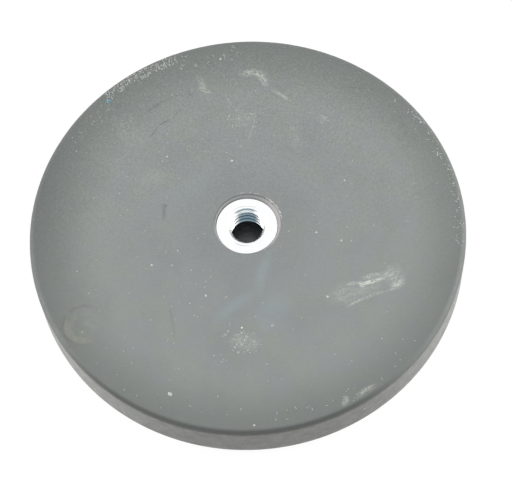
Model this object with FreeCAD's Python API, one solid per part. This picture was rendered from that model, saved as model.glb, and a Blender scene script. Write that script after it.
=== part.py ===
"""Round holding magnet, 66 mm across, in a moulded rubber jacket with a threaded bush flush in its back.

The working face lies on z = 0 and the thread axis is +Z through the centre. All sizes are in millimetres.
From the working face up the stack is a rubber skin, two rings of magnet discs, a steel back plate and a
second rubber skin. The bush is riveted in the plate, and the rubber is moulded round all of them.
"""

import FreeCAD
import Part
import math
import os

# Thread of the bush, ISO metric coarse
thread_diameter = 6.0
thread_pitch = 1.0
thread_mouth_margin = 0.25
thread_end_chamfer = 0.4

# Bush, riveted in the back plate
bush_wall = 1.0
bush_head_overhang = 0.65
bush_head_recess = 0.5
bush_head_chamfer = 0.1
bush_flat_depth = 0.35
rivet_lip_overhang = 0.4
rivet_lip_height = 0.8
rivet_lip_draw_in = 0.5

# Magnet discs, in two rings of alternating poles
magnet_diameter = 12.0
magnet_thickness = 4.0
inner_ring_count = 4
outer_ring_count = 10
bush_to_ring_gap = 0.6
ring_to_ring_gap = 0.5

# Steel back plate
plate_thickness = 2.0
plate_margin = 0.5

# Rubber jacket
working_skin = 1.0
back_skin = 1.5
side_wall = 3.0
side_draft_angle = 0.75
working_edge_bevel = 1.2
back_edge_radius = 1.0
shoulder_width = 3.6
shoulder_drop = 0.12
opening_slope_width = 0.3
core_pin_clearance = 0.2
core_pin_floor = 0.8
core_pin_chamfer = 0.3

# Round witness mark of an ejector pin on the back
witness_mark_diameter = 6.4
witness_mark_line_width = 0.3
witness_mark_depth = 0.05
witness_mark_edge_distance = 4.3
witness_mark_direction = -150.8

# Radii and levels that follow from the sizes above
METRIC_THREAD_DEPTH = 1.0825
thread_major_radius = thread_diameter / 2
thread_minor_radius = thread_major_radius - METRIC_THREAD_DEPTH * thread_pitch / 2
thread_mouth_radius = thread_major_radius + thread_mouth_margin

shank_radius = thread_major_radius + bush_wall
head_radius = shank_radius + bush_head_overhang
rivet_lip_radius = shank_radius + rivet_lip_overhang

magnet_radius = magnet_diameter / 2
inner_ring_radius = rivet_lip_radius + bush_to_ring_gap + magnet_radius
outer_ring_radius = inner_ring_radius + magnet_diameter + ring_to_ring_gap
plate_radius = outer_ring_radius + magnet_radius + plate_margin
jacket_radius = plate_radius + side_wall

plate_bottom = working_skin + magnet_thickness
plate_top = plate_bottom + plate_thickness
jacket_top = plate_top + back_skin
head_top = jacket_top - bush_head_recess
bush_bottom = plate_bottom - rivet_lip_height

opening_radius = head_radius + opening_slope_width
core_pin_radius = thread_minor_radius - core_pin_clearance


def point(radius, height):
    """A point of a profile in the XZ plane."""
    return FreeCAD.Vector(radius, 0, height)


def corner_arcs(before, corner, after, radius):
    """The rounding of a profile's corner as two equal arcs, tangent to both sides."""
    towards_before = (before - corner).normalize()
    towards_after = (after - corner).normalize()
    half_angle = towards_before.getAngle(towards_after) / 2
    setback = radius / math.tan(half_angle)
    centre = corner + (towards_before + towards_after).normalize() * (radius / math.sin(half_angle))
    start = corner + towards_before * setback
    end = corner + towards_after * setback

    def on_arc(share):
        """The point that lies a share of the way round from start to end."""
        chord = start * (1 - share) + end * share
        return centre + (chord - centre).normalize() * radius

    first = Part.Arc(start, on_arc(0.2), on_arc(0.5))
    second = Part.Arc(on_arc(0.5), on_arc(0.8), end)
    return start, end, [first.toShape(), second.toShape()]


def revolved(corners):
    """A solid of revolution about Z. A corner is (radius, height), or has its rounding as a third number."""
    points = [point(corner[0], corner[1]) for corner in corners]
    edges = []
    ends = []
    for index, corner in enumerate(corners):
        start = end = points[index]
        if len(corner) == 3:
            after = points[(index + 1) % len(points)]
            start, end, arcs = corner_arcs(points[index - 1], points[index], after, corner[2])
            edges += arcs
        ends.append((start, end))
    for index, (start, _) in enumerate(ends):
        edges.append(Part.LineSegment(ends[index - 1][1], start).toShape())
    wire = Part.Wire(Part.sortEdges(edges)[0])
    return Part.Face(wire).revolve(point(0, 0), FreeCAD.Vector(0, 0, 1), 360)


def cylinder(radius, bottom, top, x=0.0, y=0.0):
    return Part.makeCylinder(radius, top - bottom, FreeCAD.Vector(x, y, bottom))


def make_bush_blank():
    """Outside of the bush: head on the plate, flatted shank through it, lip rolled out under it."""
    head = revolved([
        (0, plate_top),
        (head_radius, plate_top),
        (head_radius, head_top - bush_head_chamfer),
        (head_radius - bush_head_chamfer, head_top),
        (0, head_top),
    ])
    across_flats = 2 * (shank_radius - bush_flat_depth)
    flats = Part.makeBox(
        across_flats, 2 * shank_radius, plate_thickness,
        FreeCAD.Vector(-across_flats / 2, -shank_radius, plate_bottom),
    )
    shank = cylinder(shank_radius, plate_bottom, plate_top).common(flats)
    lip = revolved([
        (0, bush_bottom),
        (rivet_lip_radius - rivet_lip_draw_in, bush_bottom),
        (rivet_lip_radius, plate_bottom),
        (0, plate_bottom),
    ])
    return head.fuse([shank, lip]).removeSplitter()


def make_bush_bore():
    """Tapped hole at the thread's minor diameter, chamfered below and rounded above in two steps."""
    rounding = thread_mouth_radius - thread_minor_radius
    half_step = rounding * math.sin(math.radians(45))
    return revolved([
        (0, bush_bottom),
        (thread_minor_radius + thread_end_chamfer, bush_bottom),
        (thread_minor_radius, bush_bottom + thread_end_chamfer),
        (thread_minor_radius, head_top - rounding),
        (thread_mouth_radius - half_step, head_top - rounding + half_step),
        (thread_mouth_radius, head_top),
        (0, head_top),
    ])


def make_magnets(ring_name, ring_radius, count):
    """The discs of one ring, standing against the underside of the plate."""
    step = 2 * math.pi / count
    magnets = {}
    for number in range(count):
        x = ring_radius * math.cos(step * number)
        y = ring_radius * math.sin(step * number)
        magnets[f"magnet_{ring_name}_{number + 1:02d}"] = cylinder(
            magnet_radius, working_skin, plate_bottom, x, y
        )
    return magnets


def make_plate_blank():
    """Plain stamped disc."""
    return cylinder(plate_radius, plate_bottom, plate_top)


def make_jacket_blank():
    """Outside of the rubber, sloping down to the edge of the bush head in the middle of the back."""
    draft = math.tan(math.radians(side_draft_angle))
    back_edge_level = jacket_top - shoulder_drop
    back_edge_at = jacket_radius - (back_edge_level - working_edge_bevel) * draft
    head_edge_level = head_top - bush_head_chamfer
    return revolved([
        (0, 0),
        (jacket_radius - working_edge_bevel, 0),
        (jacket_radius, working_edge_bevel),
        (back_edge_at, back_edge_level, back_edge_radius),
        (back_edge_at - shoulder_width, jacket_top),
        (opening_radius, jacket_top),
        (head_radius, head_edge_level),
        (0, head_edge_level),
    ])


def make_core_pin():
    """Space that the mould's core pin leaves under the thread, closed at the working face."""
    return revolved([
        (0, core_pin_floor),
        (core_pin_radius - core_pin_chamfer, core_pin_floor),
        (core_pin_radius, core_pin_floor + core_pin_chamfer),
        (core_pin_radius, bush_bottom),
        (0, bush_bottom),
    ])


def make_witness_mark(jacket_blank):
    """Shallow ring pressed into the back, as deep on the shoulder as on the flat."""
    at_radius = jacket_radius - witness_mark_edge_distance
    angle = math.radians(witness_mark_direction)
    x = at_radius * math.cos(angle)
    y = at_radius * math.sin(angle)
    outer = witness_mark_diameter / 2
    ring = cylinder(outer, plate_top, jacket_top, x, y)
    ring = ring.cut(cylinder(outer - witness_mark_line_width, plate_top, jacket_top, x, y))
    lowered = jacket_blank.copy()
    lowered.translate(FreeCAD.Vector(0, 0, -witness_mark_depth))
    return ring.cut(lowered)


def main():
    bush_blank = make_bush_blank()
    plate_blank = make_plate_blank()
    jacket_blank = make_jacket_blank()
    magnets = {
        **make_magnets("inner", inner_ring_radius, inner_ring_count),
        **make_magnets("outer", outer_ring_radius, outer_ring_count),
    }
    inserts = [plate_blank, bush_blank, make_core_pin(), *magnets.values()]
    pieces = {
        "rubber_jacket": jacket_blank.cut([*inserts, make_witness_mark(jacket_blank)]),
        "steel_back_plate": plate_blank.cut(bush_blank),
        "threaded_bush": bush_blank.cut(make_bush_bore()),
        **magnets,
    }
    os.makedirs("parts", exist_ok=True)
    for name, shape in pieces.items():
        shape.exportStep(f"parts/{name}.step")


main()
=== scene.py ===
import math
import random

import bmesh
import bpy
from mathutils import Matrix, Vector, noise


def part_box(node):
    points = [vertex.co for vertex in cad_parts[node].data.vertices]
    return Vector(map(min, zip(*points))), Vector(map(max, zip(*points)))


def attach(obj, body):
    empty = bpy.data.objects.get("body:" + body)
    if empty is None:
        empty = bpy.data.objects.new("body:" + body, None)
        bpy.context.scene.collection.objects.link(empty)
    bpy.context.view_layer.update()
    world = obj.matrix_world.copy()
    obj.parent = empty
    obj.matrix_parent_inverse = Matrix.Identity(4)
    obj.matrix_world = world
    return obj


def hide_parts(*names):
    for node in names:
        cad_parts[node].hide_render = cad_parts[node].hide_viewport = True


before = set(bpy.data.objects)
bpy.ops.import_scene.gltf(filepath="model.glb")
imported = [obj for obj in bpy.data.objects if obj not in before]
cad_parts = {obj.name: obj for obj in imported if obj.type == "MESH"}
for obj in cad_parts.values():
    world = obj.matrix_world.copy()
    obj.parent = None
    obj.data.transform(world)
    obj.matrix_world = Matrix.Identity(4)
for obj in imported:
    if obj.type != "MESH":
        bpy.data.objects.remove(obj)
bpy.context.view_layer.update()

MM = 0.001

_, jacket_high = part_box("rubber_jacket")
plate_low, plate_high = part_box("steel_back_plate")
bush_low, bush_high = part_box("threaded_bush")

# Lengths are in metres, unless a comment says millimetres

# Bush and its thread. The groove's floor and its open edge are given in turns from its middle
pitch = 1.0 * MM
metric_depth_share = 0.54127
thread_major_radius = 3.0 * MM
thread_minor_radius = thread_major_radius - metric_depth_share * pitch
thread_mouth_radius = 3.25 * MM
thread_end_chamfer = 0.4 * MM
thread_start_turn = 0.25
groove_floor_turns = 1 / 16
groove_edge_turns = 3 / 8
head_radius = bush_high.x
head_top = bush_high.z
head_chamfer = 0.1 * MM
shank_radius = 4.0 * MM
shank_half_flats = 3.65 * MM
rivet_lip_radius = 4.4 * MM
rivet_lip_end_radius = 3.9 * MM
bush_bottom = bush_low.z

# Mouth of the hole: rounded above, a cone at its foot, with a fine turned line round it
mouth_rounding = thread_mouth_radius - thread_minor_radius
mouth_steepest = math.radians(42)
mouth_foot = head_top - mouth_rounding * (
    1 - math.cos(mouth_steepest) + (1 - math.sin(mouth_steepest)) * math.tan(mouth_steepest)
)
mouth_foot_gap = 0.002 * MM
mouth_line_depth = 0.045 * MM
mouth_line_width = 0.10 * MM
mouth_line_radius = thread_mouth_radius + mouth_line_width * 0.5
mouth_line_deepest = math.radians(225)
# Heights of the mouth's rings, as shares of its depth from the foot up
MOUTH_SHARES = (0.0, 0.2, 0.4, 0.53, 0.62, 0.70, 0.77, 0.83, 0.88, 0.92, 0.955, 0.98, 0.995)

# Hollows of the jacket round and under the bush. The opening's lip is moulded a little off centre
opening_radius = head_radius + 0.3 * MM
opening_shift = Vector((0.12, 0.08)) * MM
opening_shift_reach = 1.5 * MM
lip_radius = 0.10 * MM
lip_out = opening_radius + lip_radius
seal_top = head_top - head_chamfer
pocket_radius = thread_minor_radius - 0.2 * MM
pocket_floor = 0.8 * MM
pocket_chamfer = 0.3 * MM

# Outside of the jacket
jacket_radius = jacket_high.x
jacket_top = jacket_high.z
side_draft = math.tan(math.radians(0.75))
working_edge_radius = 1.5 * MM
back_edge_radius = 1.0 * MM
shoulder_width = 3.6 * MM
shoulder_drop = 0.12 * MM
wall_top = jacket_top - shoulder_drop - back_edge_radius
wall_radius = jacket_radius - (wall_top - working_edge_radius) * side_draft
rim_centre = wall_radius - back_edge_radius
shoulder_in = wall_radius - shoulder_width

# Unevenness of the moulded rubber. A rate is in waves per millimetre
face_sink = 0.05 * MM
face_wave = 0.03 * MM
face_wave_rate = 0.07
side_wave = 0.02 * MM
side_wave_rate = 0.25
rim_nick = 0.03 * MM
rim_nick_rate = 2.3
rim_nick_reach = 0.4 * MM
skin_grain = 0.012 * MM
skin_ripple = 0.03 * MM

# Fine marks of the other surfaces
turning_mark_depth = 0.0012 * MM
scratch_depth = 0.004 * MM
dust_grain = 0.01 * MM

# Ejector mark on the back face
mark_at = Vector((-25.07, -13.98)) * MM
mark_radius = 3.05 * MM
mark_line_half_width = 0.26 * MM
mark_depth = 0.045 * MM

# Fineness of the meshes
jacket_segments = 640
working_face_first_ring = 4 * MM
finer_face_radius = 25.0 * MM
radius_slack = 0.01 * MM
bush_segments = 256
thread_rows_per_pitch = 60

# Crumbs and fibres. A pair is the smallest and largest share that is drawn
flake_half_height = 0.022 * MM
flake_lift = 0.003 * MM
FLAKE_WIDTHS = (0.6, 1.0)
FLAKE_ROUGHNESS = (0.72, 1.0)
CRUMB_SIZES = (0.35, 1.0)
FIBRE_LENGTHS = (0.4, 1.0)
fibre_width = 0.07 * MM
fibre_turn = 0.5
single_fibre_width_share = 0.10
clear_of_opening = 0.5 * MM

# Floor, round and open under the magnet, so that the working face shows from below
floor_radius = 1.5
floor_hole_radius = jacket_radius - 2 * MM
floor_level = -0.02 * MM
floor_segments = 96
floor_glow = 1.05
floor_glow_share = 0.90

# Lamps: place and power. The sheet is what the bright bush reflects of the person with the camera
world_light = 0.50
LAMPS = {
    "right_lamp": ((0.36, 0.02, 0.17), 0.88),
    "left_lamp": ((-0.36, 0.02, 0.18), 0.76),
}
lamp_size = 0.26
sheet_half_width = 0.33
sheet_half_height = 0.17
sheet_distance = 0.5
sheet_direction = Vector((0, -0.545, 0.839))

# Camera of the photograph, in millimetres and degrees
camera_elevation = 64.6
camera_roll = -5.07
camera_distance = 243.5
camera_aim = Vector((1.15, 0.82, 0))
camera_lens = 110.15
camera_sensor = 36


def straight_step(value, low, high):
    """0 below low, 1 above high, and a straight rise between."""
    return min(max((value - low) / (high - low), 0.0), 1.0)


def smooth_step(value, low, high):
    """0 below low, 1 above high, and a smooth rise between."""
    share = straight_step(value, low, high)
    return share * share * (3 - 2 * share)


def spread(first, last, count):
    """Evenly spaced values from first to last, both included."""
    return [first + (last - first) * n / (count - 1) for n in range(count)]


def arc(centre_r, centre_z, radius, start, end, count):
    """Points (radius, height) of an arc, with angles in degrees from the outward direction."""
    angles = [math.radians(a) for a in spread(start, end, count)]
    return [(centre_r + radius * math.cos(a), centre_z + radius * math.sin(a)) for a in angles]


def mesh_object(name, vertices, faces, sharp_angle=32):
    mesh = bpy.data.meshes.new(name)
    mesh.from_pydata(vertices, [], faces)
    mesh.validate()
    mesh.shade_smooth()
    mesh.set_sharp_from_angle(angle=math.radians(sharp_angle))
    made = bpy.data.objects.new(name, mesh)
    bpy.context.scene.collection.objects.link(made)
    return made


def lathe(name, rings, segments, shape, poles=True):
    """Turned mesh from rings of (radius, height). shape(radius, height, angle) gives each vertex.

    With poles, the first and last rings are closed by a point on the axis. Else they meet.
    """
    angles = [2 * math.pi * n / segments for n in range(segments)]
    vertices = [shape(radius, height, angle) for radius, height in rings for angle in angles]
    faces = []
    last_ring = len(rings) - 1 if poles else len(rings)
    for ring in range(last_ring):
        below = ring * segments
        above = (ring + 1) % len(rings) * segments
        for n in range(segments):
            after = (n + 1) % segments
            faces.append((below + n, below + after, above + after, above + n))
    if poles:
        first_pole = len(vertices)
        vertices.append(Vector((0, 0, rings[0][1])))
        vertices.append(Vector((0, 0, rings[-1][1])))
        top = last_ring * segments
        for n in range(segments):
            after = (n + 1) % segments
            faces.append((first_pole, after, n))
            faces.append((first_pole + 1, top + n, top + after))
    return mesh_object(name, vertices, faces)


def flatted(radius, angle):
    """Radius of the bush's shank, which has a flat on either side."""
    return min(radius, shank_half_flats / max(abs(math.cos(angle)), 1e-6))


def face_height(x, y):
    """How far the moulded back face lies below its highest level at a place."""
    at = Vector((x, y, 0)) / MM
    wave = noise.fractal(at * face_wave_rate, 1.0, 2.0, 3) * 0.5 + 0.5
    groove = math.hypot(x - mark_at.x, y - mark_at.y) - mark_radius
    line = math.exp(-((groove / mark_line_half_width) ** 2))
    return face_sink + face_wave * min(max(wave, 0), 1) + mark_depth * line


def jacket_rings():
    """Rings of the jacket, from the working face up and over the rim to the floor of the pocket."""
    working_face_radius = jacket_radius - working_edge_radius
    lip_zone_radius = lip_out + opening_shift_reach
    rings = [(radius, 0.0) for radius in spread(working_face_first_ring, working_face_radius, 8)]
    rings += arc(working_face_radius, working_edge_radius, working_edge_radius, -80, 0, 9)
    rings += [(jacket_radius - (z - working_edge_radius) * side_draft, z)
              for z in spread(working_edge_radius, wall_top, 9)[1:]]
    rings += arc(rim_centre, wall_top, back_edge_radius, 6, 90, 15)
    for radius in spread(rim_centre, shoulder_in, 20)[1:]:
        rise = smooth_step(rim_centre - radius, 0, rim_centre - shoulder_in)
        rings.append((radius, jacket_top - shoulder_drop * (1 - rise)))
    rings += [(radius, jacket_top) for radius in spread(shoulder_in, finer_face_radius, 26)[1:]]
    rings += [(radius, jacket_top) for radius in spread(finer_face_radius, lip_zone_radius, 30)[1:]]
    rings += [(radius, jacket_top) for radius in spread(lip_zone_radius, lip_out, 5)[1:]]
    rings += arc(lip_out, jacket_top - lip_radius, lip_radius, 105, 150, 4)
    rings += [(head_radius, seal_top), (head_radius, plate_high.z)]
    rings += [(shank_radius, plate_high.z), (shank_radius, plate_low.z)]
    rings += [(rivet_lip_radius, plate_low.z), (rivet_lip_end_radius, bush_bottom)]
    rings += [(pocket_radius, bush_bottom), (pocket_radius, pocket_floor + pocket_chamfer)]
    rings += [(pocket_radius - pocket_chamfer, pocket_floor)]
    return rings


def jacket_vertex(radius, height, angle):
    """A vertex of the jacket, with the off-centre lip, the flats, the uneven face and the side."""
    on_back = radius > opening_radius - lip_radius and height > seal_top
    reach = opening_shift_reach
    shift = smooth_step(lip_out + reach - radius, 0, reach) if on_back else 0
    if radius == shank_radius:
        radius = flatted(radius, angle)
    x = radius * math.cos(angle) + opening_shift.x * shift
    y = radius * math.sin(angle) + opening_shift.y * shift
    if on_back and radius < rim_centre + radius_slack:
        height -= face_height(x, y)
    elif radius > opening_radius and height > working_edge_radius:
        height -= face_sink * smooth_step(height, wall_top, jacket_top - shoulder_drop)
        at = Vector((x, y, height)) / MM
        inward = side_wave * (noise.noise(at * side_wave_rate) * 0.5 + 0.5)
        near_rim = smooth_step(height, wall_top - rim_nick_reach, wall_top)
        inward += rim_nick * near_rim * max(noise.noise(at * rim_nick_rate), 0)
        x -= inward * math.cos(angle)
        y -= inward * math.sin(angle)
    return Vector((x, y, height))


def make_jacket():
    """Moulded rubber, uneven as the real one, with the ejector mark and a nicked rim."""
    return lathe("rubber_jacket_skin", jacket_rings(), jacket_segments, jacket_vertex)


def groove_depth(height, angle):
    """Depth of the thread groove as a share of the full depth."""
    turns = height / pitch - angle / (2 * math.pi) + thread_start_turn
    return 1 - straight_step(abs(turns - round(turns)), groove_floor_turns, groove_edge_turns)


def mouth_radius(height):
    """Rounded mouth of the hole, going over into a cone where it is steepest."""
    sag = head_top - height
    if sag <= mouth_rounding * (1 - math.cos(mouth_steepest)):
        reach_squared = mouth_rounding ** 2 - (mouth_rounding - sag) ** 2
        return thread_mouth_radius - math.sqrt(max(reach_squared, 0.0))
    return thread_minor_radius + (height - mouth_foot) / math.tan(mouth_steepest)


def bore_radius(height, angle):
    """Wall of the tapped hole: rounded mouth, right-handed 60 degree thread, chamfer at its end."""
    if height >= mouth_foot:
        return mouth_radius(height)
    depth = (thread_major_radius - thread_minor_radius) * groove_depth(height, angle)
    end = thread_minor_radius + thread_end_chamfer - (height - bush_bottom)
    return max(thread_minor_radius + depth, end)


# Stands in for the radius of a ring on the wall of the tapped hole
BORE = -1.0


def bush_rings():
    """Rings of the bush, from the bottom of the hole up, over the head and down outside."""
    rows = round((mouth_foot - bush_bottom) / pitch * thread_rows_per_pitch) + 1
    rings = [(BORE, height) for height in spread(bush_bottom, mouth_foot - mouth_foot_gap, rows)]
    rings += [(BORE, mouth_foot + (head_top - mouth_foot) * share) for share in MOUTH_SHARES]
    rings += [
        (thread_mouth_radius, head_top),
        (thread_mouth_radius + mouth_line_width * 0.2, head_top),
        (mouth_line_radius, head_top - mouth_line_depth),
        (thread_mouth_radius + mouth_line_width, head_top),
    ]
    head_edge = head_radius - head_chamfer
    rings += [(radius, head_top) for radius in spread(thread_mouth_radius, head_edge, 6)[1:]]
    rings += arc(head_edge, head_top - head_chamfer, head_chamfer, 67.5, 0, 4)
    rings += [(head_radius, plate_high.z), (shank_radius, plate_high.z)]
    rings += [(shank_radius, plate_low.z), (rivet_lip_radius, plate_low.z)]
    rings += [(rivet_lip_end_radius, bush_bottom)]
    return rings


def bush_vertex(radius, height, angle):
    """A vertex of the bush, with its thread, its flats and the uneven line round the mouth."""
    if radius == BORE:
        radius = bore_radius(height, angle)
    elif radius == shank_radius:
        radius = flatted(radius, angle)
    elif radius == mouth_line_radius:
        height -= mouth_line_depth * max(math.cos(angle - mouth_line_deepest), 0)
    return Vector((radius * math.cos(angle), radius * math.sin(angle), height))


def make_bush():
    """Turned bush with its real thread."""
    made = lathe("threaded_bush_turned", bush_rings(), bush_segments, bush_vertex, poles=False)
    made.data.flip_normals()
    return made


class Graph:
    """A material's shader nodes, added and joined by short calls.

    A value is a number, a colour or a socket. place is the shaded place in millimetres.
    """

    def __init__(self, name):
        self.material = bpy.data.materials.new(name)
        self.material.use_nodes = True
        self.tree = self.material.node_tree
        self.shader = self.tree.nodes["Principled BSDF"]
        coordinates = self.tree.nodes.new("ShaderNodeTexCoord").outputs["Object"]
        self.place = self.vector("SCALE", coordinates, Scale=1 / MM)

    def give(self, socket, value):
        if isinstance(value, bpy.types.NodeSocket):
            self.tree.links.new(value, socket)
        else:
            socket.default_value = value

    def node(self, kind, inputs, **settings):
        made = self.tree.nodes.new(kind)
        for key, value in settings.items():
            setattr(made, key, value)
        for key, value in inputs.items():
            self.give(made.inputs[key], value)
        return made

    def math(self, operation, first, second=0.0, clamp=False):
        inputs = {0: first, 1: second}
        made = self.node("ShaderNodeMath", inputs, operation=operation, use_clamp=clamp)
        return made.outputs[0]

    def times(self, *values):
        """Product of masks and shares."""
        product = values[0]
        for value in values[1:]:
            product = self.math("MULTIPLY", product, value)
        return product

    def off(self, value, middle):
        """How far a value lies from the middle one, to either side."""
        return self.math("ABSOLUTE", self.math("SUBTRACT", value, middle))

    def vector(self, operation, first, second=(0, 0, 0), **extra):
        inputs = {0: first, 1: second, **extra}
        made = self.node("ShaderNodeVectorMath", inputs, operation=operation)
        return made.outputs["Value" if operation in ("LENGTH", "DOT_PRODUCT") else "Vector"]

    def parts(self, place):
        """The X, Y and Z of a place."""
        return self.node("ShaderNodeSeparateXYZ", {0: place}).outputs

    def band(self, value, low, high):
        """0 at low, 1 at high and smooth between. low may be the larger."""
        inputs = {"Value": value, "From Min": low, "From Max": high, "To Min": 0.0, "To Max": 1.0}
        made = self.node("ShaderNodeMapRange", inputs, interpolation_type="SMOOTHSTEP")
        return made.outputs["Result"]

    def ranged(self, value, low, high):
        """A noise with its middle part stretched from low to high."""
        inputs = {"Value": value, "From Min": 0.3, "From Max": 0.7, "To Min": low, "To Max": high}
        return self.node("ShaderNodeMapRange", inputs).outputs["Result"]

    def noise(self, scale, detail=2.0, roughness=0.5, place=None):
        """Cloudy noise about 0.5, its scale given per millimetre."""
        inputs = {
            "Vector": place or self.place, "Scale": scale, "Detail": detail, "Roughness": roughness,
        }
        return self.node("ShaderNodeTexNoise", inputs).outputs["Fac"]

    def dots(self, scale, size):
        """Scattered round dots, size being a share of their spacing."""
        inputs = {"Vector": self.place, "Scale": scale, "Randomness": 1.0}
        distance = self.node("ShaderNodeTexVoronoi", inputs).outputs["Distance"]
        return self.band(distance, size, size * 0.5)

    def mix(self, share, first, second):
        made = self.tree.nodes.new("ShaderNodeMix")
        made.data_type = "RGBA"
        for index, value in ((0, share), (6, first), (7, second)):
            if isinstance(value, tuple):
                value = (*value, 1.0)
            self.give(made.inputs[index], value)
        return made.outputs[2]

    def cover(self, colour, tone, *masks, strength=None):
        """The colour with a tone laid over it, as much as the product of masks and strength."""
        shares = masks if strength is None else (*masks, strength)
        return self.mix(self.times(*shares), colour, tone)

    def patch(self, x, y, angle, half_length, half_width, softness=0.6, bend=0.0):
        """Mask of an ellipse seen from above, in millimetres and degrees, and the place in it.

        bend is how far both ends swing to the right of its direction, in half widths.
        """
        inputs = {
            "Vector": self.place,
            "Location": (x, y, 0),
            "Rotation": (0, 0, math.radians(angle)),
            "Scale": (half_length, half_width, 1000.0),
        }
        inside = self.node("ShaderNodeMapping", inputs, vector_type="TEXTURE").outputs["Vector"]
        if bend:
            parts = self.parts(inside)
            across = self.math("ADD", parts["Y"], self.times(parts["X"], parts["X"], bend))
            bent = self.node("ShaderNodeCombineXYZ", {"X": parts["X"], "Y": across})
            inside = bent.outputs["Vector"]
        return self.band(self.vector("LENGTH", inside), 1.0, 1.0 - softness), inside

    def toward(self, x_share, y_share, place=None):
        """How far a place lies along a level direction, times the direction's length."""
        return self.vector("DOT_PRODUCT", place or self.place, (x_share, y_share, 0))

    def bump(self, height, distance, normal=None):
        inputs = {"Height": height, "Distance": distance, "Strength": 1.0}
        if normal is not None:
            inputs["Normal"] = normal
        return self.node("ShaderNodeBump", inputs).outputs["Normal"]

    def finish(self, **inputs):
        """Connects the surface's values and returns the material."""
        for key, value in inputs.items():
            if isinstance(value, tuple) and len(value) == 3:
                value = (*value, 1.0)
            self.give(self.shader.inputs[key.replace("_", " ")], value)
        return self.material


def dress(piece, material):
    piece.data.materials.clear()
    piece.data.materials.append(material)


# Colours of the rubber, linear
GREY = (0.304, 0.325, 0.325)
GREEN_GREY = (0.304, 0.329, 0.308)
# RIM_GREY is the clouds' darker tone, and also the painted shade towards the rim
RIM_GREY = (0.155, 0.171, 0.165)
SIDE_GREY = (0.104, 0.107, 0.095)
# Painted light on the left and right of the side
SIDE_PAINTED_LIGHT = (0.182, 0.183, 0.166)
# Painted shade of the line under the near rim
PAINTED_RIM_SHADE = (0.070, 0.074, 0.070)
CHALK = (0.69, 0.73, 0.66)
STAIN_BLUE = (0.335, 0.395, 0.412)
SCUFF_DARK = (0.13, 0.14, 0.135)
SPECK_OLIVE = (0.42, 0.44, 0.27)
LIP_GREY = (0.35, 0.37, 0.375)
LIP_PALE = (0.50, 0.47, 0.47)
# Painted shade at the lip's edges
LIP_PAINTED_SHADE = (0.13, 0.125, 0.115)
MARK_BROWN = (0.18, 0.168, 0.14)
MARK_PALE = (0.325, 0.33, 0.28)
# Painted shade of the pocket's upper wall
POCKET_PAINTED_SHADE = (0.036, 0.042, 0.046)
POCKET_GREY = (0.31, 0.33, 0.34)
# Painted pool of light in the middle of the pocket's floor
POCKET_PAINTED_LIGHT = (0.92, 0.93, 0.92)

# Colours of the metals, the dust and the surroundings. A pair is the two tones of a mottle
ZINC_BLUE = (0.975, 0.985, 1.0)
ZINC_WARM = (1.0, 0.995, 0.985)
# Painted dark reflection on the thread's crests
CREST_PAINTED_REFLECTION = (0.16, 0.21, 0.24)
STEEL_LIGHT = (0.55, 0.56, 0.57)
STEEL_DARK = (0.42, 0.42, 0.42)
NICKEL_LIGHT = (0.72, 0.70, 0.66)
NICKEL_DARK = (0.64, 0.62, 0.58)
PALE_DUST = ((0.80, 0.82, 0.78), (0.60, 0.62, 0.56))
DULL_DUST = ((0.52, 0.54, 0.51), (0.42, 0.44, 0.42))
BLUE_DUST = ((0.03, 0.26, 0.52), (0.26, 0.70, 0.86))
SHEET_BLUE_GREY = (0.18, 0.27, 0.32, 1)
FLOOR_WHITE = (0.90, 0.90, 0.90, 1)
WHITE = (1, 1, 1, 1)

# Where the tones of the rubber change, in millimetres. The first value of a pair is where a tone
# is absent and the second where it is full
FACE_HEIGHTS = (7.35, 7.95)
FACE_RADII = (32.95, 32.65)
NEAR_BUSH_RADII = (13.0, 6.0)
UPPER_PART = (-8.0, 20.0)
# Radii of the painted shade towards the rim: where it is full, where it begins, and how much sooner
# it begins in the upper part
RIM_FULL_RADIUS = 33.5
RIM_FIRST_RADIUS = 23.5
RIM_FIRST_RADIUS_SHIFT = 3.0
COARSER_UPWARD = (-18.0, 26.0)
# Painted light: the side turns lighter towards the left and right
SIDE_PAINTED_LIGHT_OUTWARD = (10.0, 30.0)
SIDE_RADII = (6.0, 7.0)
WORKING_FACE_HEIGHTS = (0.5, 0.3)
ABOVE_WORKING_FACE = (0.5, 0.6)
# Place of the painted shade line under the near rim
RIM_LINE_HEIGHTS = (7.45, 8.00)
RIM_LINE_RADII = (32.12, 32.60)
RIM_LINE_NEARWARD = (-19.0, -29.5)
LIP_EDGE = 5.04
LIP_SOFTNESS = 0.10
LIP_PALER_RIGHTWARD = (1.5, 4.2)
# Half widths of the painted shade line at the lip's edge, and radii of the painted shade in the gap
# round the bush's head
LIP_SHADE_HALF_WIDTHS = (0.11, 0.03)
GAP_SHADE_RADII = (4.80, 4.70)
FAR_SIDE = (0.8, 3.0)
POCKET_RADII = (4.6, 4.4)
# Radii of the painted pool of light on the pocket's floor
POCKET_LIGHT_POOL_RADII = (2.4, 0.4)
POCKET_WALL_HEIGHTS = (0.95, 1.15)
# Heights where the painted shade on the pocket's wall gives way to grey
POCKET_PALER_DOWNWARD = (3.6, 1.0)
# Where the thread's crests get the painted dark reflection
CREST_RADII = (2.50, 2.465)
CREST_HEIGHTS = (7.55, 7.50)
# Ellipse on the left where painted shade darkens the rim more: x, y, direction, half length, half
# width, softness
LEFT_RIM_SHADE = (-29, 7, 12, 14, 26, 1.0)

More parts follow.
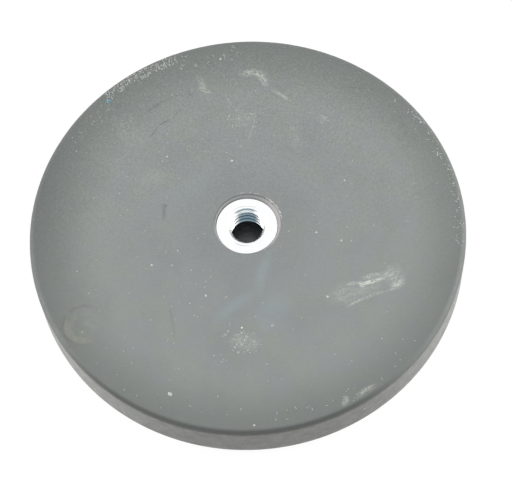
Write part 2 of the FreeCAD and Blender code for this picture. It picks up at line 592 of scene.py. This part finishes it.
# Marks on the back face: x, y, direction, half length, half width, bend and strength, in
# millimetres and degrees. The bend is how far both ends swing to the right, in half widths
SMEARS = {
    "swoosh_core": (17.6, -11.1, 11, 2.4, 0.50, 0.2, 1.5),
    "swoosh_wedge": (16.20, -11.45, -20, 0.80, 0.62, 0.0, 1.6),
    "swoosh_core_upper": (17.6, -10.2, 10, 2.0, 0.62, 0.2, 0.56),
    "swoosh_dashes": (14.9, -11.1, 8, 1.5, 0.38, 0.0, 0.60),
    "swoosh_bridge": (19.6, -10.4, 22, 1.9, 1.0, 0.0, 0.40),
    "swoosh_fan": (21.1, -10.7, 12, 1.9, 2.5, 0.0, 0.42),
    "swoosh_fan_streak": (21.3, -11.8, 12, 1.5, 0.70, 0.0, 0.52),
    "swoosh_fan_foot": (20.9, -12.4, 14, 1.3, 0.60, 0.0, 0.64),
    "swoosh_lower": (16.3, -13.6, 19, 4.7, 0.36, 1.7, 0.60),
    "swoosh_haze": (13.6, -12.7, 12, 3.2, 2.3, 0.0, 0.26),
    "swoosh_haze_between": (16.9, -12.3, 14, 3.8, 1.1, 0.0, 0.24),
    "top_bar": (3.0, 26.4, -8, 2.7, 0.95, 0.3, 0.58),
    "top_down": (4.5, 25.0, -62, 2.0, 0.85, 0.0, 0.66),
    "top_tail": (7.2, 21.9, -40, 2.5, 0.36, 0.7, 0.50),
    "top_left_streak": (-5.1, 25.4, -77, 2.3, 0.80, 0.3, 0.32),
    "top_left_base": (-4.7, 24.0, -28, 1.5, 0.80, 0.0, 0.52),
    "thin_near_top": (-1.2, 21.9, -68, 1.6, 0.26, -0.6, 0.42),
    "left_haze": (-16.8, 18.0, -60, 4.8, 2.8, 0.2, 0.12),
    "middle_left_haze": (-13.9, 9.4, 18, 3.0, 2.2, 0.2, 0.14),
    "upper_cluster": (0.8, 18.2, 0, 2.6, 1.7, 0.0, 0.18),
    "scratch": (2.4, 17.3, -106, 4.4, 0.17, 3.0, 0.32),
    "right_streak": (8.6, 14.6, -80, 4.0, 1.5, 0.2, 0.14),
    "below_bush": (-1.6, -18.7, -20, 2.8, 1.8, 0.2, 0.30),
    "lower_right_rim": (14.9, -27.9, 28, 2.4, 0.60, 0.3, 0.55),
    "lower_right_spot": (11.8, -29.2, 60, 1.1, 0.75, 0.0, 0.50),
    "right_rim": (27.7, 15.9, -43, 1.4, 0.18, 0.3, 0.60),
    "upper_right_spot": (13.2, 17.2, -55, 1.0, 0.65, 0.0, 0.40),
}
STAINS = {
    "curl_from_bush": (1.7, -8.0, 70, 5.0, 1.3, 0.6, 0.50),
    "curl_foot": (-2.8, -12.9, 33, 5.4, 1.4, 0.5, 0.48),
    "beside_curl": (3.0, -13.7, 20, 3.8, 2.8, 0.3, 0.38),
    "beside_curl_low": (1.8, -16.6, 0, 2.4, 2.0, 0.0, 0.26),
    "above_bush": (-8.0, 7.0, 20, 6.0, 3.4, 0.0, 0.12),
}
STREAKS = {
    "upper": (-12.7, 21.9, 31, 3.4, 0.36, 0.8, 0.52),
    "upper_end": (-9.2, 23.6, 14, 1.4, 0.30, 0.4, 0.34),
    "upper_hook": (-7.1, 23.5, -73, 1.0, 0.24, 0.2, 0.45),
    "lower_foot": (-13.2, 17.2, 53, 1.6, 0.22, -0.5, 0.50),
    "lower_middle": (-11.4, 18.9, 27, 1.6, 0.26, 0.8, 0.55),
    "lower_head": (-9.3, 20.4, 47, 1.7, 0.20, -0.5, 0.40),
    "left_of_bush": (-12.3, 3.3, 80, 1.7, 0.50, 0.3, 0.42),
    "left_of_bush_spot": (-12.1, 4.4, 10, 0.8, 0.5, 0.0, 0.40),
    "low_left_line": (-12.1, -14.4, -85, 4.0, 0.40, 0.0, 0.16),
    "upper_right_line": (19.6, 21.9, -10, 5.0, 0.22, 1.0, 0.26),
}


def face_colour(g, flat_place, radius):
    """Grey of the back face: mottled and clouded, darker round the bush, and with painted shade
    towards the rim.
    """
    mottle = g.noise(0.2, 5, 0.7, place=flat_place)
    greener = g.math("ADD", mottle, g.math("MULTIPLY", radius, 0.007))
    colour = g.mix(g.band(greener, 0.60, 0.74), GREY, GREEN_GREY)
    cloud = g.noise(0.11, 4, 0.6, place=flat_place)
    colour = g.cover(colour, RIM_GREY, g.band(cloud, 0.55, 0.30), strength=0.14)
    colour = g.cover(colour, RIM_GREY, g.band(radius, *NEAR_BUSH_RADII), strength=0.15)

    # Painted shade: the face turns darker towards the rim all round, more in the left ellipse and
    # in the upper part
    upper = g.band(g.toward(-0.5, 0.87), *UPPER_PART)
    left_rim_shade, _ = g.patch(*LEFT_RIM_SHADE)
    share = g.math("ADD", g.times(left_rim_shade, 0.22), g.times(upper, 0.12))
    start = g.math("SUBTRACT", RIM_FIRST_RADIUS, g.times(upper, RIM_FIRST_RADIUS_SHIFT))
    near_rim = g.band(radius, start, RIM_FULL_RADIUS)
    return g.cover(colour, RIM_GREY, g.math("ADD", share, 0.70), near_rim)


def add_marks(g, colour):
    """Stains, rubbed chalky smears and broken dark streaks, as the tables place them."""
    for *shape, bend, strength in STAINS.values():
        mask, _ = g.patch(*shape, 0.9, bend)
        colour = g.cover(colour, STAIN_BLUE, mask, strength=strength)
    chalk_grain = g.band(g.noise(4.2, 2, 0.6), 0.33, 0.56)
    for x, y, angle, half_length, half_width, bend, strength in SMEARS.values():
        mask, inside = g.patch(x, y, angle, half_length, half_width, 0.75, bend)
        stretched = g.vector("MULTIPLY", inside, (half_length * 0.40, half_width * 1.7, 0))
        place = g.vector("ADD", stretched, (x, y, 0))
        rubbed = g.band(g.noise(1.7, 4, 0.7, place=place), 0.34, 0.58)
        colour = g.cover(colour, CHALK, mask, rubbed, chalk_grain, strength=strength)
    broken = g.band(g.noise(1.4, 2), 0.24, 0.46)
    for *shape, bend, strength in STREAKS.values():
        mask, _ = g.patch(*shape, 0.9, bend)
        colour = g.cover(colour, SCUFF_DARK, mask, broken, strength=strength)
    return colour


def add_dust(g, colour, coarse):
    """Fine pale specks, and larger faint olive ones."""
    crumbs = g.times(g.dots(1.1, 0.10), g.band(g.noise(0.16, 2), 0.46, 0.66))
    dust = g.times(g.dots(2.6, 0.13), g.band(g.noise(0.3, 2), 0.50, 0.72))
    colour = g.cover(colour, CHALK, g.math("MAXIMUM", crumbs, dust), coarse, strength=0.50)
    olive_places = g.band(g.noise(0.25, 2), 0.45, 0.62)
    return g.cover(colour, SPECK_OLIVE, g.dots(1.5, 0.22), olive_places, strength=0.14)


def add_side(g, colour, radius, across, height, side):
    """Darker tone of the side and the working face, painted light on the side to the left and
    right, and a painted shade line under the near rim.
    """
    # Painted light: the side is lighter towards the left and right
    painted_light = g.band(g.math("ABSOLUTE", across), *SIDE_PAINTED_LIGHT_OUTWARD)
    tone = g.mix(painted_light, SIDE_GREY, SIDE_PAINTED_LIGHT)
    tone = g.cover(tone, RIM_GREY, g.band(g.noise(0.12, 3), 0.35, 0.65), strength=0.2)
    on_working_face = g.band(height, *WORKING_FACE_HEIGHTS)
    outer = g.math("MAXIMUM", g.band(radius, *SIDE_RADII), on_working_face)
    colour = g.cover(colour, tone, side, outer)
    # Painted shade: a dark line on the near rounding of the rim, where it would reflect the dark
    # camera side
    edge = g.times(g.band(height, *RIM_LINE_HEIGHTS), g.band(radius, *RIM_LINE_RADII))
    near = g.band(g.toward(0.18, 1.0), *RIM_LINE_NEARWARD)
    return g.cover(colour, PAINTED_RIM_SHADE, edge, near, strength=0.75)


def add_ejector_mark(g, colour, on_face):
    """Brown line, pale crescent and olive spots of the ejector mark."""
    size = mark_radius / MM
    mark, inside = g.patch(mark_at.x / MM, mark_at.y / MM, 0, size, size)
    from_centre = g.vector("LENGTH", inside)
    line = g.times(g.band(g.off(from_centre, 1.0), 0.12, 0.02), g.band(g.noise(0.7, 2), 0.3, 0.55))
    left_part = g.band(g.toward(-1.0, 0.2, inside), -0.6, 0.4)
    colour = g.cover(colour, MARK_BROWN, line, left_part, on_face, strength=0.50)
    lower_left_part = g.band(g.toward(-0.6, -0.8, inside), 0.0, 0.6)
    crescent = g.times(g.band(g.off(from_centre, 0.80), 0.24, 0.08), lower_left_part, on_face)
    broken = g.band(g.noise(1.1, 3), 0.30, 0.50)
    colour = g.cover(colour, MARK_PALE, crescent, broken, strength=0.45)
    spots = g.band(g.noise(0.8, 4, 0.7), 0.42, 0.62)
    return g.cover(colour, SPECK_OLIVE, mark, spots, on_face, strength=0.22)


def add_grain(g, colour, coarse):
    """Fine dark and pale grain of the moulded skin."""
    grain = g.noise(3.6, 4, 0.8)
    colour = g.cover(colour, SCUFF_DARK, g.band(grain, 0.48, 0.70), coarse, strength=0.30)
    return g.cover(colour, CHALK, g.band(grain, 0.52, 0.30), coarse, strength=0.16)


def add_lip(g, colour, flat_place, radius, across, above_floor):
    """Paler slope round the bush, with a painted shade line at either edge on the far side."""
    from_lip = g.vector("LENGTH", g.vector("SUBTRACT", flat_place, (*(opening_shift / MM), 0)))
    tone = g.mix(g.band(across, *LIP_PALER_RIGHTWARD), LIP_GREY, LIP_PALE)
    on_lip = g.band(from_lip, LIP_EDGE, LIP_EDGE - LIP_SOFTNESS)
    colour = g.cover(colour, tone, on_lip, above_floor, strength=0.9)
    # Painted shade: dark lines at the lip's edge and in the gap round the head, on the far side
    # only
    far_side = g.band(g.toward(-0.3, 1.0), *FAR_SIDE)
    line = g.times(g.band(g.off(from_lip, LIP_EDGE), *LIP_SHADE_HALF_WIDTHS), far_side)
    gap_shade = g.times(g.band(radius, *GAP_SHADE_RADII), far_side)
    return g.cover(colour, LIP_PAINTED_SHADE, g.math("MAXIMUM", line, gap_shade), above_floor, strength=0.8)


def add_pocket(g, colour, radius, height, above_floor):
    """Painted shade on the upper wall and a painted pool of light in the middle of the floor of the
    pocket under the thread.
    """
    # Painted pool of light in the middle of the floor
    floor_tone = g.mix(g.band(radius, *POCKET_LIGHT_POOL_RADII), POCKET_GREY, POCKET_PAINTED_LIGHT)
    # Painted shade on the upper wall, fading downward
    wall_tone = g.mix(g.band(height, *POCKET_PALER_DOWNWARD), POCKET_PAINTED_SHADE, POCKET_GREY)
    tone = g.mix(g.band(height, *POCKET_WALL_HEIGHTS), floor_tone, wall_tone)
    return g.cover(colour, tone, g.band(radius, *POCKET_RADII), above_floor)


def rubber_material():
    """Matt grey rubber, dusty and rubbed. Its heights, radii and places are in millimetres."""
    g = Graph("moulded_rubber")
    flat_place = g.vector("MULTIPLY", g.place, (1, 1, 0))
    radius = g.vector("LENGTH", flat_place)
    parts = g.parts(g.place)
    across, height = parts["X"], parts["Z"]
    on_face = g.times(g.band(height, *FACE_HEIGHTS), g.band(radius, *FACE_RADII))
    side = g.math("SUBTRACT", 1.0, on_face, clamp=True)
    above_floor = g.band(height, *ABOVE_WORKING_FACE)
    upward = g.band(g.toward(0.0, 1.0), *COARSER_UPWARD)
    coarse = g.math("ADD", g.times(upward, 0.90), 0.25)
    coarse = g.math("MAXIMUM", coarse, g.times(side, 0.80))

    colour = face_colour(g, flat_place, radius)
    colour = add_marks(g, colour)
    colour = add_dust(g, colour, coarse)
    colour = add_side(g, colour, radius, across, height, side)
    colour = add_ejector_mark(g, colour, on_face)
    colour = add_grain(g, colour, coarse)
    colour = add_lip(g, colour, flat_place, radius, across, above_floor)
    colour = add_pocket(g, colour, radius, height, above_floor)

    matt = g.ranged(g.noise(0.8, 3), 0.50, 0.64)
    roughness = g.math("SUBTRACT", matt, g.times(side, 0.22))
    normal = g.bump(g.times(g.noise(7.0, 3, 0.6), coarse), skin_grain)
    normal = g.bump(g.times(g.noise(0.9, 3, 0.55), coarse), skin_ripple, normal)
    return g.finish(Base_Color=colour, Roughness=roughness, Normal=normal, Specular_IOR_Level=0.5)


def zinc_material():
    """Bright zinc plating, faintly blue, with turning marks round the axis and a painted dark
    reflection on the thread's crests.
    """
    g = Graph("bright_zinc_plating")
    radius = g.vector("LENGTH", g.vector("MULTIPLY", g.place, (1, 1, 0)))
    height = g.parts(g.place)["Z"]
    turning_marks = g.math("SINE", g.times(radius, 95.0))
    colour = g.mix(g.band(g.noise(0.9, 3), 0.35, 0.7), ZINC_BLUE, ZINC_WARM)
    # Painted dark reflection of the dark pocket on the crests below the mouth
    crest = g.band(radius, *CREST_RADII)
    colour = g.cover(colour, CREST_PAINTED_REFLECTION, crest, g.band(height, *CREST_HEIGHTS), strength=0.85)
    roughness = g.ranged(g.noise(2.5, 3), 0.10, 0.20)
    normal = g.bump(turning_marks, turning_mark_depth)
    return g.finish(Base_Color=colour, Roughness=roughness, Normal=normal, Metallic=1.0)


def metal_material(name, light, dark, smoothest, roughest):
    """Plain sealed metal with a clouded surface and fine scratches."""
    g = Graph(name)
    colour = g.mix(g.band(g.noise(0.5, 4), 0.35, 0.65), light, dark)
    scratched = g.noise(1.0, 2, place=g.vector("MULTIPLY", g.place, (0.3, 9.0, 1.0)))
    roughness = g.ranged(scratched, smoothest, roughest)
    normal = g.bump(scratched, scratch_depth)
    return g.finish(Base_Color=colour, Roughness=roughness, Normal=normal, Metallic=1.0)


def dust_material(name, light, dark):
    """Dull, finely rough dust."""
    g = Graph(name)
    colour = g.mix(g.band(g.noise(3.0, 2), 0.35, 0.65), light, dark)
    normal = g.bump(g.noise(9.0, 2), dust_grain)
    return g.finish(Base_Color=colour, Roughness=0.9, Normal=normal)


def level_at(x, y):
    """Height of the back face, its shoulder and rounded rim at a place."""
    away = math.hypot(x, y)
    edge_level = jacket_top - shoulder_drop
    edge_radius = jacket_radius - (edge_level - working_edge_radius) * side_draft
    centre = edge_radius - back_edge_radius
    lowered = shoulder_drop * smooth_step(away, edge_radius - shoulder_width, centre)
    out = min(max(away - centre, 0.0) / back_edge_radius, 0.98)
    rounded = back_edge_radius * (1 - math.sqrt(1 - out * out))
    return jacket_top - lowered - rounded - face_height(x, y)


def ball():
    """Vertices and faces of a coarse ball of radius 1."""
    bm = bmesh.new()
    bmesh.ops.create_icosphere(bm, subdivisions=2, radius=1.0)
    vertices = [vertex.co.copy() for vertex in bm.verts]
    faces = [[vertex.index for vertex in face.verts] for face in bm.faces]
    bm.free()
    return vertices, faces


class Flakes:
    """Flat irregular crumbs and fibres, half sunk in the back face, gathered in one mesh."""

    def __init__(self, seed):
        self.rng = random.Random(seed)
        self.ball_vertices, self.ball_faces = ball()
        self.vertices = []
        self.faces = []

    def add(self, x, y, size, stretch=None, direction=None):
        rng = self.rng
        turn = direction if direction is not None else rng.uniform(0, 2 * math.pi)
        width = size * (stretch if stretch is not None else rng.uniform(*FLAKE_WIDTHS))
        spin = Matrix.Rotation(turn, 3, "Z")
        centre = Vector((x, y, level_at(x, y) + flake_lift))
        first = len(self.vertices)
        for place in self.ball_vertices:
            shrink = rng.uniform(*FLAKE_ROUGHNESS)
            offset = Vector((place.x * size / 2, place.y * width / 2, place.z * flake_half_height))
            self.vertices.append(centre + spin @ (offset * shrink))
        self.faces += [[first + index for index in face] for face in self.ball_faces]

    def finish(self, name):
        return mesh_object(name, self.vertices, self.faces, sharp_angle=180)


# The crumbs that catch the eye: x, y and size. These tables are in millimetres and degrees
CRUMBS = {
    "largest": (-13.03, -25.85, 0.85),
    "left_middle": (-14.6, -5.3, 0.42),
    "near_top": (-1.9, 29.5, 0.40),
    "over_bush": (-1.4, 11.1, 0.42),
    "left_high": (-11.3, 12.8, 0.36),
    "right_of_bush": (10.3, -2.3, 0.36),
    "right_low": (13.9, -4.0, 0.42),
    "beside_smear": (10.9, -12.9, 0.40),
    "right_high": (15.4, 6.0, 0.34),
    "below_left": (-6.9, -11.0, 0.42),
    "below": (-2.0, -16.6, 0.40),
    "low_rim": (-1.4, -31.6, 0.40),
}
# Where finer crumbs gather: x, y, reach, how many, largest size
CRUMB_GROUPS = {
    "over_the_face": (0, 0, 31, 260, 0.20),
    "below_bush": (-1.4, -18.9, 2.5, 12, 0.30),
    "upper_cluster": (0.8, 18.2, 2.4, 28, 0.26),
    "lower_left": (-10.5, -9.0, 6.0, 16, 0.28),
    "left_haze": (-16.8, 18.0, 3.6, 26, 0.15),
    "left_of_cluster": (-4.9, -21.3, 1.7, 10, 0.24),
    "lower_right_rim": (13.4, -28.5, 2.2, 16, 0.20),
    "top": (3.5, 25.5, 4.5, 18, 0.18),
    "upper_right_spot": (13.2, 17.2, 1.0, 8, 0.24),
}
# Groups of larger and duller crumbs, in the same terms
DULL_GROUPS = {
    "below_bush": (-1.5, -18.9, 2.1, 34, 0.62),
    "beside_cluster": (1.6, -16.9, 0.9, 4, 0.60),
    "left_of_cluster": (-4.6, -16.6, 1.4, 6, 0.50),
}
# Stretches of the rim and of the opening's lip with crumbs: radii, angles, how many, largest size
CRUMB_ARCS = {
    "upper_left_rim": (30.7, 32.3, 106, 130, 100, 0.20),
    "upper_left_edge": (31.9, 32.5, 108, 129, 70, 0.26),
    "right_rim": (31.6, 32.6, -12, 34, 60, 0.26),
    "lip_right": (5.24, 5.46, 4, 52, 46, 0.24),
    "lip_top": (5.30, 5.50, 66, 100, 14, 0.20),
}
# Stretches with short pale fibres: radii, angles, lean from outward, how many, longest
FIBRE_ARCS = {
    "upper_left_rim": (30.7, 32.3, 106, 129, 0, 100, 0.8),
    "left_of_blue_speck": (29.0, 31.5, 128, 150, 0, 20, 0.5),
    "top_rim": (29.0, 31.8, 88, 107, 0, 18, 0.7),
    "right_rim": (31.0, 32.3, -12, 34, 0, 34, 0.6),
    "lower_rim": (29.5, 31.6, 225, 318, 20, 22, 0.6),
    "middle": (12.0, 28.0, 0, 360, 0, 40, 0.5),
    "below_bush": (17.6, 20.4, 259, 271, 40, 10, 0.7),
    "upper_cluster": (16.8, 19.4, 82, 94, 0, 14, 0.6),
    "lip_right": (5.28, 5.44, 8, 52, 90, 16, 0.8),
}
# Single fibres: x, y, direction, length
FIBRES = {
    "upper_right": (24.66, 19.19, 70, 0.9),
    "right_edge": (30.0, 9.2, 82, 1.1),
    "top_right_short": (26.4, 16.9, 60, 0.7),
    "over_curl": (-3.9, -11.5, 40, 0.8),
}
# The blue fibre: x, y, size, width as a share of it, direction
BLUE_SPECK = (-19.99, 23.60, 0.80, 0.60, 80)


def polar_place(rng, inner, outer, start, end):
    """A random place between two radii and two angles, and its angle."""
    away = rng.uniform(inner, outer) * MM
    angle = math.radians(rng.uniform(start, end))
    return away * math.cos(angle), away * math.sin(angle), angle


def scatter_groups(flakes, groups):
    """Adds the crumbs of round groups, none of them near the opening."""
    rng = flakes.rng
    for x, y, reach, count, largest in groups.values():
        for _ in range(count):
            away = reach * math.sqrt(rng.random()) * MM
            angle = rng.uniform(0, 2 * math.pi)
            at_x = x * MM + away * math.cos(angle)
            at_y = y * MM + away * math.sin(angle)
            size = largest * rng.uniform(*CRUMB_SIZES) ** 2 * MM
            if math.hypot(at_x, at_y) > opening_radius + clear_of_opening:
                flakes.add(at_x, at_y, size)


def scatter_dull_crumbs():
    """Larger and duller crumbs, as under the bush."""
    flakes = Flakes(19)
    scatter_groups(flakes, DULL_GROUPS)
    return flakes.finish("dull_crumbs")


def scatter_crumbs():
    """Pale crumbs and fibres on the back face, the single ones and seeded groups of finer ones."""
    flakes = Flakes(41)
    rng = flakes.rng
    for x, y, size in CRUMBS.values():
        flakes.add(x * MM, y * MM, size * MM)
    for x, y, direction, length in FIBRES.values():
        flakes.add(x * MM, y * MM, length * MM, single_fibre_width_share, math.radians(direction))
    scatter_groups(flakes, CRUMB_GROUPS)
    for inner, outer, start, end, count, largest in CRUMB_ARCS.values():
        for _ in range(count):
            at_x, at_y, _ = polar_place(rng, inner, outer, start, end)
            flakes.add(at_x, at_y, largest * rng.uniform(*CRUMB_SIZES) * MM)
    for inner, outer, start, end, lean, count, longest in FIBRE_ARCS.values():
        for _ in range(count):
            at_x, at_y, angle = polar_place(rng, inner, outer, start, end)
            length = longest * rng.uniform(*FIBRE_LENGTHS) * MM
            direction = angle + math.radians(lean) + rng.gauss(0, fibre_turn)
            flakes.add(at_x, at_y, length, fibre_width / length, direction)
    return flakes.finish("dust_crumbs")


def make_blue_speck():
    """One blue fibre near the upper left rim."""
    x, y, size, width_share, direction = BLUE_SPECK
    flakes = Flakes(7)
    flakes.add(x * MM, y * MM, size * MM, width_share, math.radians(direction))
    return flakes.finish("blue_speck")


def make_floor():
    """Round level sheet just under the magnet, with a hole that the magnet covers."""
    vertices = []
    faces = []
    for radius in (floor_hole_radius, floor_radius):
        for angle in (2 * math.pi * n / floor_segments for n in range(floor_segments)):
            vertices.append((radius * math.cos(angle), radius * math.sin(angle), floor_level))
    for n in range(floor_segments):
        after = (n + 1) % floor_segments
        faces.append((n, floor_segments + n, floor_segments + after, after))
    return mesh_object("floor", vertices, faces)


def glow_shader(tree, colour, strength=1.0):
    """An emission shader in a node tree."""
    glow = tree.nodes.new("ShaderNodeEmission")
    glow.inputs["Color"].default_value = colour
    glow.inputs["Strength"].default_value = strength
    return glow


def make_photographer():
    """Blue-grey sheet where the person with the camera stands. Only mirror rays see it."""
    wide, high = sheet_half_width, sheet_half_height
    corners = [(-wide, -high, 0), (wide, -high, 0), (wide, high, 0), (-wide, high, 0)]
    sheet = mesh_object("photographer", corners, [(0, 1, 2, 3)])
    material = bpy.data.materials.new("dim_blue_grey")
    material.use_nodes = True
    tree = material.node_tree
    glow = glow_shader(tree, SHEET_BLUE_GREY)
    tree.links.new(glow.outputs[0], tree.nodes["Material Output"].inputs["Surface"])
    dress(sheet, material)
    sheet.location = sheet_direction * sheet_distance
    sheet.rotation_mode = "QUATERNION"
    sheet.rotation_quaternion = sheet_direction.to_track_quat("Z", "Y")
    sheet.visible_camera = False
    sheet.visible_diffuse = False
    sheet.visible_shadow = False
    return sheet


def make_studio():
    """White floor and surroundings, and soft lamps that keep a colour about as it is written."""
    floor = make_floor()
    dress(floor, floor_material())
    light_world()
    for name, (place, power) in LAMPS.items():
        add_lamp(name, place, power)
    sheet = make_photographer()


def seen_directly(tree):
    """1 for camera, mirror and glass rays, and 0 for light that falls on things."""
    path = tree.nodes.new("ShaderNodeLightPath")
    total = None
    for name in ("Is Camera Ray", "Is Glossy Ray", "Is Transmission Ray"):
        if total is None:
            total = path.outputs[name]
        else:
            most = tree.nodes.new("ShaderNodeMath")
            most.operation = "MAXIMUM"
            tree.links.new(total, most.inputs[0])
            tree.links.new(path.outputs[name], most.inputs[1])
            total = most.outputs[0]
    return total


def floor_material():
    """White sheet that keeps the object's shadow as a light veil, and is white where it is seen."""
    material = bpy.data.materials.new("white_sheet")
    material.use_nodes = True
    tree = material.node_tree
    sheet = tree.nodes["Principled BSDF"]
    sheet.inputs["Base Color"].default_value = FLOOR_WHITE
    sheet.inputs["Roughness"].default_value = 0.9
    glow = glow_shader(tree, WHITE, floor_glow)
    veil = tree.nodes.new("ShaderNodeMath")
    veil.operation = "MULTIPLY"
    veil.inputs[1].default_value = floor_glow_share
    tree.links.new(seen_directly(tree), veil.inputs[0])
    mix = tree.nodes.new("ShaderNodeMixShader")
    tree.links.new(veil.outputs[0], mix.inputs[0])
    tree.links.new(sheet.outputs[0], mix.inputs[1])
    tree.links.new(glow.outputs[0], mix.inputs[2])
    tree.links.new(mix.outputs[0], tree.nodes["Material Output"].inputs["Surface"])
    return material


def light_world():
    """White where it is seen, and a plain even light on the object."""
    world = bpy.data.worlds.new("white_studio")
    bpy.context.scene.world = world
    world.use_nodes = True
    tree = world.node_tree
    seen = tree.nodes["Background"]
    seen.inputs["Color"].default_value = WHITE
    seen.inputs["Strength"].default_value = 1.0
    light = tree.nodes.new("ShaderNodeBackground")
    light.inputs["Color"].default_value = WHITE
    light.inputs["Strength"].default_value = world_light
    mix = tree.nodes.new("ShaderNodeMixShader")
    tree.links.new(seen_directly(tree), mix.inputs[0])
    tree.links.new(light.outputs[0], mix.inputs[1])
    tree.links.new(seen.outputs[0], mix.inputs[2])
    tree.links.new(mix.outputs[0], tree.nodes["World Output"].inputs["Surface"])


def add_lamp(name, place, power):
    """Round soft lamp that shines on the middle of the magnet."""
    lamp = bpy.data.lights.new(name, "AREA")
    lamp.shape = "DISK"
    lamp.size = lamp_size
    lamp.energy = power
    made = bpy.data.objects.new(name, lamp)
    bpy.context.scene.collection.objects.link(made)
    made.location = place
    made.rotation_mode = "QUATERNION"
    made.rotation_quaternion = (-Vector(place)).to_track_quat("-Z", "Y")
    made.visible_camera = False


def make_camera():
    """Camera of the photograph, which looks down at the back of the magnet from the front."""
    tilt = math.radians(camera_elevation)
    roll = math.radians(camera_roll)
    ahead = Vector((0, math.cos(tilt), -math.sin(tilt)))
    level = Vector((1, 0, 0))
    upward = level.cross(ahead)
    right = math.cos(roll) * level + math.sin(roll) * upward
    up = math.cos(roll) * upward - math.sin(roll) * level
    data = bpy.data.cameras.new("camera")
    data.sensor_width = camera_sensor
    data.lens = camera_lens
    data.clip_start = 0.01
    data.clip_end = 10
    camera = bpy.data.objects.new("camera", data)
    bpy.context.scene.collection.objects.link(camera)
    turn = Matrix((right, up, -ahead)).transposed().to_4x4()
    place = (camera_aim - ahead * camera_distance) * MM
    camera.matrix_world = Matrix.Translation(place) @ turn
    bpy.context.scene.camera = camera


def main():
    make_camera()
    make_studio()
    bpy.context.scene.view_settings.view_transform = "Standard"

    jacket = make_jacket()
    dress(jacket, rubber_material())
    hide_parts("rubber_jacket")

    bush = make_bush()
    dress(bush, zinc_material())
    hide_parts("threaded_bush")

    crumbs = scatter_crumbs()
    dress(crumbs, dust_material("pale_dust", *PALE_DUST))
    dull = scatter_dull_crumbs()
    dress(dull, dust_material("dull_dust", *DULL_DUST))
    speck = make_blue_speck()
    dress(speck, dust_material("blue_dust", *BLUE_DUST))
    for piece in (jacket, bush, crumbs, dull, speck):
        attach(piece, "root")

    plate = metal_material("plate_steel", STEEL_LIGHT, STEEL_DARK, 0.35, 0.55)
    nickel = metal_material("nickel_plating", NICKEL_LIGHT, NICKEL_DARK, 0.12, 0.26)
    for name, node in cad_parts.items():
        if name.startswith("magnet"):
            dress(node, nickel)
        elif name == "steel_back_plate":
            dress(node, plate)


main()
